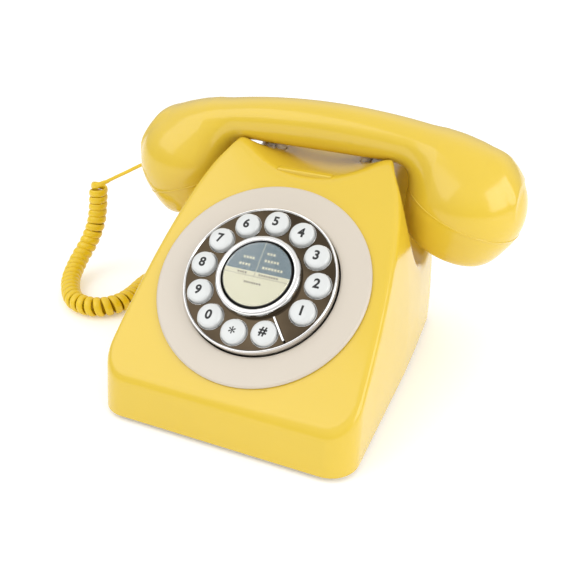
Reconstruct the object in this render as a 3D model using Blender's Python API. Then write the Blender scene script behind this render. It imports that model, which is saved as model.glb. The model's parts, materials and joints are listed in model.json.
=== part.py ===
"""Push-button desk telephone: a wedge-shaped case with a cradle, a ring of twelve keys and a handset.

Metres, +Z up. The front of the telephone faces -Y. The origin is on the table, under the middle of the
telephone's bounding box, and the handset and the cord's far end rest at their joints' zero.
"""

import math

import bmesh
import bpy
from mathutils import Matrix, Vector

MM = 0.001
GAP = 0.3 * MM  # between pieces that touch

# Case
CASE_WIDTH = 140 * MM
CASE_DEPTH = 180 * MM
CASE_BOTTOM = 3 * MM
SKIRT = -12 * MM  # the outlines reach below the case's open bottom, which one cut levels
FRONT = -CASE_DEPTH / 2
FRONT_WALL_TOP = 26 * MM
FRONT_WALL_LEAN = 2.6 * MM
FACE_ANGLE = math.radians(37.7)
HORN_TOP = 119 * MM
REAR_LEAN = 8 * MM
WALL = 2.6 * MM
FRONT_CORNER = 15 * MM
REAR_CORNER = 20 * MM
EDGE_ROUND = 4 * MM
CAVITY_TOP = 100 * MM
BOSS_PLACES = [(x * MM, FRONT + y * MM) for x, y in ((-64, 22), (64, 22), (-61.5, 156), (61.5, 156))]
FOOT_PLACES = [(x * MM, FRONT + y * MM) for x, y in ((-50, 20), (50, 20), (-46, 152), (46, 152))]
RECALL_Y = FRONT + 112 * MM
RECALL_LENGTH = 33 * MM
RECALL_DEPTH = 5 * MM

# Cradle: the saddle runs front to back, the trough side to side, the scoops clear the handset's ends
SADDLE_RADIUS = 79 * MM
SADDLE_LOW = 106.2 * MM
TROUGH_RADIUS = 16.2 * MM
TROUGH_HEIGHT = 126.5 * MM
SCOOP = Vector((46, 37.5, 48)) * MM
SCOOP_HEIGHT = 98 * MM

# Handset
HANDSET_Y = FRONT + 139.5 * MM
BULB_X = 84.2 * MM
BULB_Z = 93.6 * MM
BULB_RADIUS = 32.8 * MM
CAP_TILT = math.radians(19)
SEAM_DROP = 14.5 * MM
CAP_HEIGHT = {"mouth": 13 * MM, "ear": 11 * MM}
HANDLE_TOP = 138.9 * MM
HANDLE_UNDER = 112.8 * MM
HANDLE_ARCH = 350 * MM
HANDLE_HALF_DEPTH = 14.8 * MM
HANDLE_REACH = 104 * MM  # the handle's ends are inside the bulbs
CORD_HOLE = 2.4 * MM

# Hook, under the handle
PLUNGER_X = 26 * MM
PLUNGER_RADIUS = 3.2 * MM
HOOK_PIVOT_Y = HANDSET_Y - 19 * MM
HOOK_PIVOT_Z = 80 * MM

# Dial
DIAL_Y = FRONT + 55.5 * MM
DIAL_Z = 66.95 * MM
RING_RADIUS = 56.9 * MM
PLATE_RADIUS = 40.6 * MM
DIAL_HOLE = 52 * MM
KEY_CIRCLE = 31.3 * MM
KEY_RADIUS = 6.5 * MM
KEY_FIRST = math.radians(-24.9)
KEY_STEP = math.radians(29.09)
KEYS = ("1", "2", "3", "4", "5", "6", "7", "8", "9", "0", "star", "hash")
CENTRE_RING = 22.5 * MM
CENTRE_BUTTON = 18 * MM
STOP_ANGLE = math.radians(-49)
STOP_PEG = 35 * MM
PLATE_LOW = 2.9 * MM
PLATE_TOP = 6.0 * MM
KEY_FOOT = -2.5 * MM
MAT_TOP = -4.9 * MM
BOARD_TOP = -6.2 * MM
CUP_FLOOR = -10 * MM

# Ringer
GONG_X = 30.5 * MM
GONG_Y = FRONT + 118 * MM
CLAPPER_PIVOT_Y = FRONT + 139 * MM
CLAPPER_Z = 22 * MM
SWITCH_X = 54 * MM

# Cord
COIL_RADIUS = 6.3 * MM
LEAD_RADIUS = 1.3 * MM
SOCKET_X = -40 * MM
LINE_X = 24 * MM
SOCKET_Z = 15 * MM
SOCKET_WINDOW = Vector((15, 20, 14)) * MM
SWITCH_WINDOW = Vector((9, 20, 5)) * MM


def clear_scene():
    for obj in list(bpy.data.objects):
        bpy.data.objects.remove(obj, do_unlink=True)


def material(name, colour, roughness, metallic=0.0):
    made = bpy.data.materials.new(name)
    made.use_nodes = True
    shader = made.node_tree.nodes["Principled BSDF"]
    shader.inputs["Base Color"].default_value = (*colour, 1.0)
    shader.inputs["Roughness"].default_value = roughness
    shader.inputs["Metallic"].default_value = metallic
    made.diffuse_color = (*colour, 1.0)
    return made


def add(name, bm, look, parent=None, location=(0, 0, 0), rotation=(0, 0, 0)):
    """A named object from a bmesh, with its faces pointing out and its curved faces smooth."""
    bmesh.ops.recalc_face_normals(bm, faces=bm.faces)
    mesh = bpy.data.meshes.new(name)
    bm.to_mesh(mesh)
    bm.free()
    mesh.shade_smooth()
    mesh.set_sharp_from_angle(angle=math.radians(35))
    if look:
        mesh.materials.append(look)
    obj = bpy.data.objects.new(name, mesh)
    obj.location = location
    obj.rotation_euler = rotation
    obj.parent = parent
    bpy.context.scene.collection.objects.link(obj)
    return obj


def add_empty(name, location, rotation=(0, 0, 0)):
    empty = bpy.data.objects.new(name, None)
    empty.location = location
    empty.rotation_euler = rotation
    bpy.context.scene.collection.objects.link(empty)
    return empty


def hidden(obj):
    """Marks a cutter, which the renders leave out."""
    obj.hide_render = True
    obj.display_type = "WIRE"
    return obj


def combine(obj, operation, cutter):
    modifier = obj.modifiers.new(cutter.name, "BOOLEAN")
    modifier.operation = operation
    modifier.solver = "EXACT"
    modifier.object = hidden(cutter)


def prism(outline, axis, low, high, bm=None):
    """A closed outline of (u, v) extruded along an axis: X takes (y, z), Y takes (x, z), Z takes (x, y)."""
    bm = bm or bmesh.new()
    at = {
        "X": lambda u, v, w: (w, u, v),
        "Y": lambda u, v, w: (u, w, v),
        "Z": lambda u, v, w: (u, v, w),
    }[axis]
    rings = [[bm.verts.new(at(u, v, w)) for u, v in outline] for w in (low, high)]
    bm.faces.new(rings[0])
    bm.faces.new(rings[1])
    count = len(outline)
    for i in range(count):
        j = (i + 1) % count
        bm.faces.new((rings[0][i], rings[0][j], rings[1][j], rings[1][i]))
    return bm


def box(centre, size, bm=None):
    x, y, z = centre
    hx, hy, hz = (side / 2 for side in size)
    outline = [(x - hx, y - hy), (x + hx, y - hy), (x + hx, y + hy), (x - hx, y + hy)]
    return prism(outline, "Z", z - hz, z + hz, bm)


def circle(radius, count, centre=(0, 0), start=0.0):
    return [
        (
            centre[0] + radius * math.cos(start + 2 * math.pi * i / count),
            centre[1] + radius * math.sin(start + 2 * math.pi * i / count),
        )
        for i in range(count)
    ]


def turned(profile, count, bm=None, matrix=None):
    """A profile of (radius, height) turned about Z. A radius of 0 closes the shape on the axis."""
    bm = bm or bmesh.new()
    matrix = matrix or Matrix()
    rings = []
    for radius, height in profile:
        if radius <= 0:
            rings.append([bm.verts.new(matrix @ Vector((0, 0, height)))])
        else:
            rings.append([bm.verts.new(matrix @ Vector((x, y, height))) for x, y in circle(radius, count)])
    closed = profile[0][0] > 0
    pairs = list(zip(rings, rings[1:] + ([rings[0]] if closed else [])))
    for low, high in pairs[: len(pairs) if closed else len(rings) - 1]:
        for i in range(count):
            j = (i + 1) % count
            corners = [low[i % len(low)], low[j % len(low)], high[j % len(high)], high[i % len(high)]]
            distinct = list(dict.fromkeys(corners))
            if len(distinct) > 2:
                bm.faces.new(distinct)
    return bm


def cylinder(radius, low, high, count=16, centre=(0, 0), bm=None):
    return prism(circle(radius, count, centre), "Z", low, high, bm)


def arc(centre, radius, start, end, steps):
    """Points of an arc between two angles in degrees."""
    points = []
    for i in range(steps + 1):
        angle = math.radians(start + (end - start) * i / steps)
        points.append((centre[0] + radius * math.cos(angle), centre[1] + radius * math.sin(angle)))
    return points


def inset(outline, distance):
    """A convex outline, given counter-clockwise, moved inwards by a distance."""
    lines = []
    count = len(outline)
    for i in range(count):
        start = Vector(outline[i])
        along = (Vector(outline[(i + 1) % count]) - start).normalized()
        lines.append((start + Vector((-along.y, along.x)) * distance, along))
    points = []
    for i in range(count):
        start, along = lines[i - 1]
        other, across = lines[i]
        share = (other - start).cross(across) / along.cross(across)
        points.append(tuple(start + along * share))
    return points


def side_outline():
    """The case seen from the side, as (y, z)."""
    rear = CASE_DEPTH / 2
    slope = math.tan(FACE_ANGLE)
    face_start = FRONT + FRONT_WALL_LEAN
    tip = Vector((face_start + (HORN_TOP - 3 * MM - FRONT_WALL_TOP) / slope, HORN_TOP - 3 * MM))
    return [
        (FRONT, CASE_BOTTOM),
        (FRONT, SKIRT),
        (rear, SKIRT),
        (rear - REAR_LEAN * 0.2, 60 * MM),
        (rear - REAR_LEAN, 106 * MM),
        (rear - REAR_LEAN - 4 * MM, 115 * MM),
        (rear - REAR_LEAN - 10 * MM, HORN_TOP),
        (tip.x + 6 * MM, HORN_TOP),
        tuple(tip),
        (face_start, FRONT_WALL_TOP),
    ]


def plan_outline():
    """The case seen from above, as (x, y): straight sides that draw in a little towards the rear."""
    half = CASE_WIDTH / 2
    rear = CASE_DEPTH / 2
    draw_in = 2.6 * MM
    right = arc((half - FRONT_CORNER, FRONT + FRONT_CORNER), FRONT_CORNER, -90, 0, 5)
    right += [(half, FRONT + 98 * MM), (half - 0.3 * draw_in, FRONT + 126 * MM)]
    right += arc((half - draw_in - REAR_CORNER, rear - REAR_CORNER), REAR_CORNER, 4, 90, 6)
    return right + [(-x, y) for x, y in reversed(right)]


def front_outline():
    """The case seen from the front, as (x, z): each side is one curve from the base to the horn's tip."""
    steps = 10
    half = CASE_WIDTH / 2
    ends = [Vector(end) for end in ((half, SKIRT), (half, 42 * MM), (68 * MM, 96 * MM), (45 * MM, 120 * MM))]
    right = []
    for i in range(steps + 1):
        t = i / steps
        weights = ((1 - t) ** 3, 3 * t * (1 - t) ** 2, 3 * t * t * (1 - t), t**3)
        right.append(tuple(sum((w * p for w, p in zip(weights, ends)), Vector((0, 0)))))
    return right + [(-x, z) for x, z in reversed(right)]


def case_block(name, thinner, look=None):
    """The case's solid before the cradle is cut: three outlines, each moved inwards, that meet."""
    reach = 120 * MM
    side, plan, front = (inset(make(), thinner) for make in (side_outline, plan_outline, front_outline))
    if thinner:
        side = [(y, min(z, CAVITY_TOP)) for y, z in side]
    block = add(name, prism(side, "X", -reach, reach), look)
    combine(block, "INTERSECT", add(name + "_plan", prism(plan, "Z", -0.03, 0.2), None))
    combine(block, "INTERSECT", add(name + "_front", prism(front, "Y", -reach, reach), None))
    return block


def cradle_cutters(name, grow):
    """The saddle, the trough and the two scoops, each larger by grow."""
    reach = 120 * MM
    count = 96
    low = SADDLE_LOW + SADDLE_RADIUS
    saddle = prism(circle(SADDLE_RADIUS + grow, count, (0, low)), "Y", -reach, reach)
    trough = prism(circle(TROUGH_RADIUS + grow, 24, (HANDSET_Y, TROUGH_HEIGHT)), "X", -reach, reach)
    cutters = [add(name + "_saddle", saddle, None), add(name + "_trough", trough, None)]
    for side in (-1, 1):
        scoop = bmesh.new()
        bmesh.ops.create_uvsphere(scoop, u_segments=28, v_segments=16, radius=1)
        bmesh.ops.scale(scoop, vec=SCOOP + Vector((grow, grow, grow)), verts=scoop.verts)
        where = (side * BULB_X, HANDSET_Y, SCOOP_HEIGHT)
        cutters.append(add(f"{name}_scoop_{'left' if side < 0 else 'right'}", scoop, None, location=where))
    return cutters


def make_case(looks):
    case = case_block("case_shell", 0.0, looks["shell"])
    bevel = case.modifiers.new("edges", "BEVEL")
    bevel.width = EDGE_ROUND
    bevel.segments = 2
    bevel.limit_method = "ANGLE"
    bevel.angle_limit = math.radians(33)
    level = box((0, 0, CASE_BOTTOM - 20 * MM), (0.3, 0.3, 40 * MM))
    combine(case, "DIFFERENCE", add("base_level", level, None))
    for cutter in cradle_cutters("cradle", 0.0):
        combine(case, "DIFFERENCE", cutter)
    cavity = case_block("cavity", WALL)
    for cutter in cradle_cutters("under_cradle", WALL):
        combine(cavity, "DIFFERENCE", cutter)
    combine(case, "DIFFERENCE", cavity)
    dial_cut = add("dial_cut", cylinder(DIAL_HOLE, -20 * MM, 20 * MM, 48), None, **dial_place())
    combine(case, "DIFFERENCE", dial_cut)
    for i, (x, y) in enumerate(BOSS_PLACES):
        top = (20 if y < 0 else 34) * MM
        boss = cylinder(5 * MM, 6.3 * MM, top, 12, (x, y))
        combine(case, "UNION", add(f"boss_{i}", boss, None))
        bore = cylinder(1.6 * MM, 0, top - 3 * MM, 10, (x, y))
        combine(case, "DIFFERENCE", add(f"boss_bore_{i}", bore, None))
    for side in (-1, 1):
        bore = cylinder(PLUNGER_RADIUS + 0.4 * MM, 80 * MM, 120 * MM, 14, (side * PLUNGER_X, HANDSET_Y))
        combine(case, "DIFFERENCE", add(f"plunger_hole_{side}", bore, None))
    slot_size = (RECALL_LENGTH + 2 * GAP, RECALL_DEPTH + 2 * GAP, 10 * MM)
    slot = box((0, RECALL_Y, SADDLE_LOW + 3.8 * MM), slot_size)
    combine(case, "DIFFERENCE", add("recall_slot", slot, None))
    windows = (("cord", SOCKET_X, SOCKET_WINDOW), ("line", LINE_X, SOCKET_WINDOW),
               ("ringer", SWITCH_X, SWITCH_WINDOW))
    for name, x, size in windows:
        window = box((x, CASE_DEPTH / 2, SOCKET_Z), size)
        combine(case, "DIFFERENCE", add(name + "_window", window, None))
    return case


def make_base(looks):
    outline = inset(plan_outline(), WALL + 1.3 * MM)
    plate = add("base_plate", prism(outline, "Z", 3.5 * MM, 6 * MM), looks["base"])
    for i, (x, y) in enumerate(BOSS_PLACES):
        hole = cylinder(1.9 * MM, 0, 10 * MM, 10, (x, y))
        combine(plate, "DIFFERENCE", add(f"screw_hole_{i}", hole, None))
        screw = turned([(0, 0.9 * MM), (3.2 * MM, 0.9 * MM), (3.2 * MM, 3.1 * MM), (1.2 * MM, 3.1 * MM),
                        (1.2 * MM, 15 * MM), (0, 15 * MM)], 12)
        add(f"base_screw_{i + 1}", screw, looks["steel"], location=(x, y, 0))
    for i, (x, y) in enumerate(FOOT_PLACES):
        foot = turned([(0, 0), (6.4 * MM, 0), (7 * MM, 0.6 * MM), (7 * MM, 3.2 * MM), (0, 3.2 * MM)], 20)
        add(f"foot_{i + 1}", foot, looks["rubber"], location=(x, y, 0))


def dial_place():
    return {"location": (0, DIAL_Y, DIAL_Z), "rotation": (FACE_ANGLE, 0, 0)}


def key_angle(index):
    return KEY_FIRST + KEY_STEP * index


def make_dial(looks):
    dial = add_empty("dial_frame", **dial_place())
    spigot = DIAL_HOLE - 0.4 * MM
    bore = PLATE_RADIUS + 0.5 * MM
    ring = [(bore, -3.4 * MM), (spigot, -3.4 * MM), (spigot, GAP), (RING_RADIUS, GAP),
            (RING_RADIUS, 1.3 * MM), (RING_RADIUS - 0.8 * MM, 1.9 * MM), (bore, 1.9 * MM)]
    add("dial_ring", turned(ring, 48), looks["cream"], dial)
    cup_wall = PLATE_RADIUS - 0.1 * MM
    cup_top = PLATE_LOW - GAP
    cup = [(0, CUP_FLOOR - 2 * MM), (cup_wall, CUP_FLOOR - 2 * MM), (cup_wall, cup_top),
           (cup_wall - 1.5 * MM, cup_top), (cup_wall - 1.5 * MM, CUP_FLOOR), (0, CUP_FLOOR)]
    add("dial_housing", turned(cup, 40), looks["dark"], dial)
    make_plate(looks, dial)
    inner = cup_wall - 2.3 * MM
    add("key_board", cylinder(inner, BOARD_TOP - 1.6 * MM, BOARD_TOP, 32), looks["board"], dial)
    add("key_mat", cylinder(inner, MAT_TOP - 1 * MM, MAT_TOP, 32), looks["rubber"], dial)
    for index, name in enumerate(KEYS):
        angle = key_angle(index)
        where = (KEY_CIRCLE * math.cos(angle), KEY_CIRCLE * math.sin(angle), 0)
        add("key_" + name, key_shape(), looks["key"], dial, where)
    make_centre(looks, dial)


def make_plate(looks, dial):
    rim = PLATE_RADIUS - 1.8 * MM
    base, top = PLATE_LOW, PLATE_TOP
    crest = top + 1 * MM
    inner = CENTRE_RING + 0.4 * MM
    profile = [(inner, base), (PLATE_RADIUS, base), (PLATE_RADIUS, crest - 0.6 * MM),
               (PLATE_RADIUS - 0.6 * MM, crest), (rim + 0.4 * MM, crest), (rim, top), (inner, top)]
    plate = add("dial_plate", turned(profile, 52), looks["chrome"], dial)
    holes = bmesh.new()
    for index in range(len(KEYS)):
        angle = key_angle(index)
        centre = (KEY_CIRCLE * math.cos(angle), KEY_CIRCLE * math.sin(angle))
        cylinder(KEY_RADIUS + 0.4 * MM, 0, 10 * MM, 14, centre, holes)
    peg = (STOP_PEG * math.cos(STOP_ANGLE), STOP_PEG * math.sin(STOP_ANGLE))
    cylinder(1.6 * MM, 0, 10 * MM, 10, peg, holes)
    combine(plate, "DIFFERENCE", add("key_holes", holes, None, dial))


def key_shape():
    """A domed cap above a flange that the plate holds down, on a stem."""
    side = KEY_RADIUS
    flange = side + 0.7 * MM
    return turned([(0, KEY_FOOT), (2.4 * MM, KEY_FOOT), (2.4 * MM, 0.6 * MM), (flange, 0.6 * MM),
                   (flange, 2.5 * MM), (side, 2.5 * MM), (side, 7.9 * MM), (side - 0.5 * MM, 8.7 * MM),
                   (side * 0.6, 9.4 * MM), (0, 9.6 * MM)], 14)


def make_centre(looks, dial):
    outer, button = CENTRE_RING, CENTRE_BUTTON
    flange = button + 1.6 * MM
    bore = button + 0.3 * MM
    ring = [(bore, 1.4 * MM), (outer, 1.4 * MM), (outer, 8.6 * MM), (outer - 1.0 * MM, 10.1 * MM),
            (outer - 2.2 * MM, 10.5 * MM), (bore, 9.2 * MM)]
    add("centre_ring", turned(ring, 36), looks["chrome"], dial)
    body = [(0, KEY_FOOT), (4 * MM, KEY_FOOT), (4 * MM, -1.0 * MM), (flange, -1.0 * MM),
            (flange, 1.1 * MM), (button - 0.2 * MM, 1.1 * MM), (button - 0.2 * MM, 9.8 * MM), (0, 9.8 * MM)]
    add("centre_button", turned(body, 32), looks["key"], dial)
    add("centre_label", cylinder(button - 0.4 * MM, 10.1 * MM, 10.4 * MM, 32), looks["label"], dial)
    edge = button - 0.3 * MM
    lens = [(0, 10.7 * MM), (edge, 10.7 * MM), (edge, 11.2 * MM), (edge - 0.9 * MM, 11.7 * MM),
            (button * 0.5, 11.9 * MM), (0, 12.0 * MM)]
    add("centre_lens", turned(lens, 32), looks["lens"], dial)
    bar = box((32.1 * MM, 0, 7.3 * MM), (12.2 * MM, 2.0 * MM, 1.4 * MM))
    stop = add("finger_stop", bar, looks["chrome"], dial, rotation=(0, 0, STOP_ANGLE))
    peg = cylinder(1.2 * MM, 1 * MM, 7.2 * MM, 10, (STOP_PEG, 0))
    combine(stop, "UNION", add("stop_peg", peg, None, dial, rotation=(0, 0, STOP_ANGLE)))


def handle_centre(x):
    return (handle_top(x) + handle_under(x)) / 2


def handle_top(x):
    """A shallow arch that turns down into the bulbs."""
    past = max(0.0, abs(x) - 80 * MM)
    return HANDLE_TOP - x * x / (2 * HANDLE_ARCH) - 12 * past * past


def handle_under(x):
    """Straight over the cradle, then down towards the bulbs."""
    past = max(0.0, abs(x) - 46 * MM)
    return HANDLE_UNDER - 5 * past * past


def handle_shape():
    """The handle: rounded sections along a shallow arch, wider than they are tall."""
    bm = bmesh.new()
    stations, around, squareness = 21, 16, 2.3
    rings = []
    for i in range(stations):
        x = HANDLE_REACH * (2 * i / (stations - 1) - 1)
        half_height = (handle_top(x) - handle_under(x)) / 2
        half_depth = HANDLE_HALF_DEPTH + 1.5 * MM * min(1, abs(x) / BULB_X) ** 2
        ring = []
        for j in range(around):
            angle = 2 * math.pi * (j + 0.5) / around
            c, s = math.cos(angle), math.sin(angle)
            y = math.copysign(abs(c) ** (2 / squareness), c) * half_depth
            z = math.copysign(abs(s) ** (2 / squareness), s) * half_height
            ring.append(bm.verts.new((x, y, handle_centre(x) + z)))
        rings.append(ring)
    for low, high in zip(rings, rings[1:]):
        for j in range(around):
            k = (j + 1) % around
            bm.faces.new((low[j], low[k], high[k], high[j]))
    bm.faces.new(rings[0])
    bm.faces.new(rings[-1])
    return bm


def bulb_frame(side):
    """The frame of one end of the handset: its origin is the bulb's centre and its -Z is the cap's axis."""
    tilt = Matrix.Rotation(side * CAP_TILT, 4, "Y")
    return Matrix.Translation((side * BULB_X, 0, BULB_Z)) @ tilt


def make_handset(looks):
    handset = add_empty("handset_frame", (0, HANDSET_Y, 0))
    body = add("handset_body", handle_shape(), looks["shell"], handset)
    seam_radius = math.sqrt(BULB_RADIUS**2 - SEAM_DROP**2)
    for side, name in ((-1, "mouth"), (1, "ear")):
        frame = bulb_frame(side)
        bulb = [(0, BULB_RADIUS)]
        for i in range(1, 9):
            height = BULB_RADIUS * math.cos(math.pi * i / 16)
            bulb.append((math.sqrt(BULB_RADIUS**2 - height**2), height))
        bulb += [(BULB_RADIUS - 0.9 * MM, -7 * MM), (seam_radius + 0.6 * MM, -SEAM_DROP), (0, -SEAM_DROP)]
        combine(body, "UNION", add(name + "_bulb", turned(bulb, 28, matrix=frame), None, handset))
        pocket = cylinder(25.8 * MM, -SEAM_DROP - 10 * MM, 2 * MM, 24)
        bmesh.ops.transform(pocket, matrix=frame, verts=pocket.verts)
        combine(body, "DIFFERENCE", add(name + "_pocket", pocket, None, handset))
        make_cap(name, frame, seam_radius, looks, handset)
    exit_hole = cylinder(CORD_HOLE, 0, 20 * MM, 12)
    bmesh.ops.transform(exit_hole, matrix=cord_exit(), verts=exit_hole.verts)
    combine(body, "DIFFERENCE", add("cord_hole", exit_hole, None, handset))
    inner, outer = LEAD_RADIUS + 0.2 * MM, CORD_HOLE - 0.3 * MM
    sleeve = [(inner, 1 * MM), (outer, 1 * MM), (outer, 9.2 * MM), (inner, 9.2 * MM)]
    relief = turned(sleeve, 12, matrix=cord_exit())
    add("handset_grommet", relief, looks["shell"], handset)
    weight = cylinder(11 * MM, -4 * MM, 1.5 * MM, 20)
    bmesh.ops.transform(weight, matrix=bulb_frame(-1), verts=weight.verts)
    add("handset_weight", weight, looks["steel"], handset)


def cord_exit():
    """The frame of the cord's hole in the mouth end's bulb, under the handle's end: its +Z points out."""
    outward = Vector((-0.97, 0, -0.24)).normalized()
    start = Vector((-BULB_X, 0, BULB_Z)) + outward * (BULB_RADIUS - 9.6 * MM)
    return Matrix.Translation(start) @ outward.to_track_quat("Z", "Y").to_matrix().to_4x4()


def make_cap(name, frame, seam_radius, looks, handset):
    """A screw-on cap with a flat face and a collar that goes up into the bulb, and the capsule it holds."""
    top = -SEAM_DROP - GAP
    low = -SEAM_DROP - CAP_HEIGHT[name]
    rim = seam_radius + 0.4 * MM
    profile = [(0, low), (19 * MM, low), (24.5 * MM, low + 0.9 * MM), (27.4 * MM, low + 3 * MM),
               (rim - 0.4 * MM, low + 6.6 * MM), (rim, top), (25.3 * MM, top), (25.3 * MM, top + 5 * MM),
               (23.2 * MM, top + 5 * MM), (23.2 * MM, low + 3.4 * MM), (0, low + 2.4 * MM)]
    cap = add(name + "_cap", turned(profile, 28, matrix=frame), looks["shell"], handset)
    holes = bmesh.new()
    places = [(0, 0)] + circle(7 * MM, 6)
    for place in places:
        cylinder(1.1 * MM, low - 5 * MM, low + 6 * MM, 8, place, holes)
    bmesh.ops.transform(holes, matrix=frame, verts=holes.verts)
    combine(cap, "DIFFERENCE", add(name + "_sound_holes", holes, None, handset))
    capsule = cylinder(22.5 * MM, low + 5 * MM, top + 4 * MM, 24)
    bmesh.ops.transform(capsule, matrix=frame, verts=capsule.verts)
    part = "transmitter" if name == "mouth" else "receiver"
    add(part + "_capsule", capsule, looks["steel"], handset)


def make_hook(looks):
    """Two plungers that the resting handset holds down, on a lever that works a switch."""
    top = HANDLE_UNDER - GAP
    foot = HOOK_PIVOT_Z + 4.6 * MM
    radius = PLUNGER_RADIUS
    for side, x in (("left", -PLUNGER_X), ("right", PLUNGER_X)):
        plunger = turned([(0, foot), (5 * MM, foot), (5 * MM, foot + 2 * MM), (radius, foot + 2 * MM),
                          (radius, top - 1.2 * MM), (radius - 1 * MM, top), (0, top)], 14)
        add("hook_plunger_" + side, plunger, looks["plunger"], location=(x, HANDSET_Y, 0))
    pivot = (HOOK_PIVOT_Y, HOOK_PIVOT_Z)
    lever_axis = add_empty("hook_axis", (0, *pivot))
    lever = box((0, 16 * MM, 3.2 * MM), (62 * MM, 20 * MM, 2 * MM))
    lever_piece = add("hook_lever", lever, looks["steel"], lever_axis)
    neck = box((0, 4 * MM, 2.7 * MM), (44 * MM, 8 * MM, 3 * MM))
    combine(lever_piece, "UNION", add("lever_neck", neck, None, lever_axis))
    eye = prism(circle(3 * MM, 14), "X", -24 * MM, 24 * MM)
    combine(lever_piece, "UNION", add("lever_eye", eye, None, lever_axis))
    bracket = box((0, HANDSET_Y - 4 * MM, 65 * MM), (62 * MM, 38 * MM, 1.6 * MM))
    bracket_piece = add("hook_bracket", bracket, looks["steel"])
    for side in (-1, 1):
        ear = box((side * 27 * MM, HOOK_PIVOT_Y, 74.6 * MM), (2 * MM, 8 * MM, 19 * MM))
        combine(bracket_piece, "UNION", add(f"bracket_ear_{side}", ear, None))
    for piece, name in ((lever_piece, "lever_bore"), (bracket_piece, "bracket_bore")):
        bore = prism(circle(1.5 * MM, 10, pivot), "X", -40 * MM, 40 * MM)
        combine(piece, "DIFFERENCE", add(name, bore, None))
    add("hook_pin", prism(circle(1.2 * MM, 10, pivot), "X", -30 * MM, 30 * MM), looks["steel"])
    switch = box((0, HANDSET_Y + 2 * MM, 73.8 * MM), (20 * MM, 10 * MM, 14 * MM))
    add("hook_switch", switch, looks["dark"])


def make_ringer(looks):
    """Two gongs with a clapper between them, worked by a coil."""
    strap = box((0, FRONT + 132 * MM, 10 * MM), (84 * MM, 50 * MM, 1.6 * MM))
    bracket = add("ringer_bracket", strap, looks["steel"])
    for x, name in ((-GONG_X, "left"), (GONG_X, "right")):
        post = cylinder(2 * MM, 9.8 * MM, 33 * MM, 12, (x, GONG_Y))
        combine(bracket, "UNION", add("gong_post_" + name, post, None))
        bowl = [(2.5 * MM, 29.4 * MM), (12 * MM, 29.2 * MM), (19 * MM, 26.6 * MM), (23.6 * MM, 21 * MM),
                (24.4 * MM, 14 * MM), (26 * MM, 14 * MM), (25.2 * MM, 21.8 * MM), (20.2 * MM, 28 * MM),
                (12.4 * MM, 31 * MM), (2.5 * MM, 31.2 * MM)]
        add("gong_" + name, turned(bowl, 18), looks["brass"], location=(x, GONG_Y, 0))
    coil = prism(circle(8 * MM, 20, (CLAPPER_PIVOT_Y + 11 * MM, CLAPPER_Z)), "X", -13 * MM, 13 * MM)
    add("ringer_coil", coil, looks["copper"])
    length = CLAPPER_PIVOT_Y - GONG_Y
    clapper_axis = add_empty("clapper_axis", (0, CLAPPER_PIVOT_Y, CLAPPER_Z))
    arm = box((0, -length / 2, 0), (1.6 * MM, length, 4 * MM))
    clapper = add("ringer_clapper", arm, looks["steel"], clapper_axis)
    ball = bmesh.new()
    bmesh.ops.create_uvsphere(ball, u_segments=14, v_segments=8, radius=3 * MM)
    combine(clapper, "UNION", add("clapper_ball", ball, None, clapper_axis, (0, -length, 0)))


def make_electrics(looks):
    board = box((0, FRONT + 50 * MM, 13 * MM), (84 * MM, 60 * MM, 1.6 * MM))
    add("main_board", board, looks["board"])
    rear = CASE_DEPTH / 2
    for name, x in (("cord_socket", SOCKET_X), ("line_socket", LINE_X)):
        jack = add(name, box((x, rear - 7.5 * MM, SOCKET_Z), (14 * MM, 14 * MM, 13 * MM)), looks["dark"])
        opening = box((x, rear - 5 * MM, SOCKET_Z), (10.4 * MM, 14 * MM, 7.4 * MM))
        combine(jack, "DIFFERENCE", add(name + "_opening", opening, None))
    knob = box((SWITCH_X, rear - 4.2 * MM, SOCKET_Z), (5 * MM, 8 * MM, 4 * MM))
    add("ringer_switch", knob, looks["dark"])


def make_recall_blank(looks):
    """The low strip on the front lip of the saddle, which fills the place of a recall key."""
    strip = box((0, RECALL_Y, SADDLE_LOW + 0.9 * MM), (RECALL_LENGTH, RECALL_DEPTH, 3.6 * MM))
    add("recall_blank", strip, looks["shell"])


def smooth_route(points, spacing):
    """Points at an even spacing along a smooth curve through the given ones."""
    points = [Vector(point) * MM for point in points]
    ends = [2 * points[0] - points[1]] + points + [2 * points[-1] - points[-2]]
    fine = []
    for a, b, c, d in zip(ends, ends[1:], ends[2:], ends[3:]):
        for i in range(12):
            t = i / 12
            fine.append(0.5 * (2 * b + (c - a) * t + (2 * a - 5 * b + 4 * c - d) * t**2
                               + (3 * b - a - 3 * c + d) * t**3))
    fine.append(points[-1])
    lengths = [(q - p).length for p, q in zip(fine, fine[1:])]
    count = max(2, round(sum(lengths) / spacing))
    step = sum(lengths) / count
    route, walked, target = [fine[0]], 0.0, step
    for p, q, length in zip(fine, fine[1:], lengths):
        while walked + length >= target and len(route) < count:
            route.append(p.lerp(q, (target - walked) / length))
            target += step
        walked += length
    return route + [fine[-1]]


def add_cord(name, points, radius, spacing, resolution, look):
    curve = bpy.data.curves.new(name, "CURVE")
    curve.dimensions = "3D"
    curve.bevel_depth = radius
    curve.bevel_resolution = resolution
    curve.use_fill_caps = True
    route = smooth_route(points, spacing)
    spline = curve.splines.new("POLY")
    spline.points.add(len(route) - 1)
    for point, place in zip(spline.points, route):
        point.co = (*place, 1)
    curve.materials.append(look)
    obj = bpy.data.objects.new(name, curve)
    bpy.context.scene.collection.objects.link(obj)
    return obj


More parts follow.
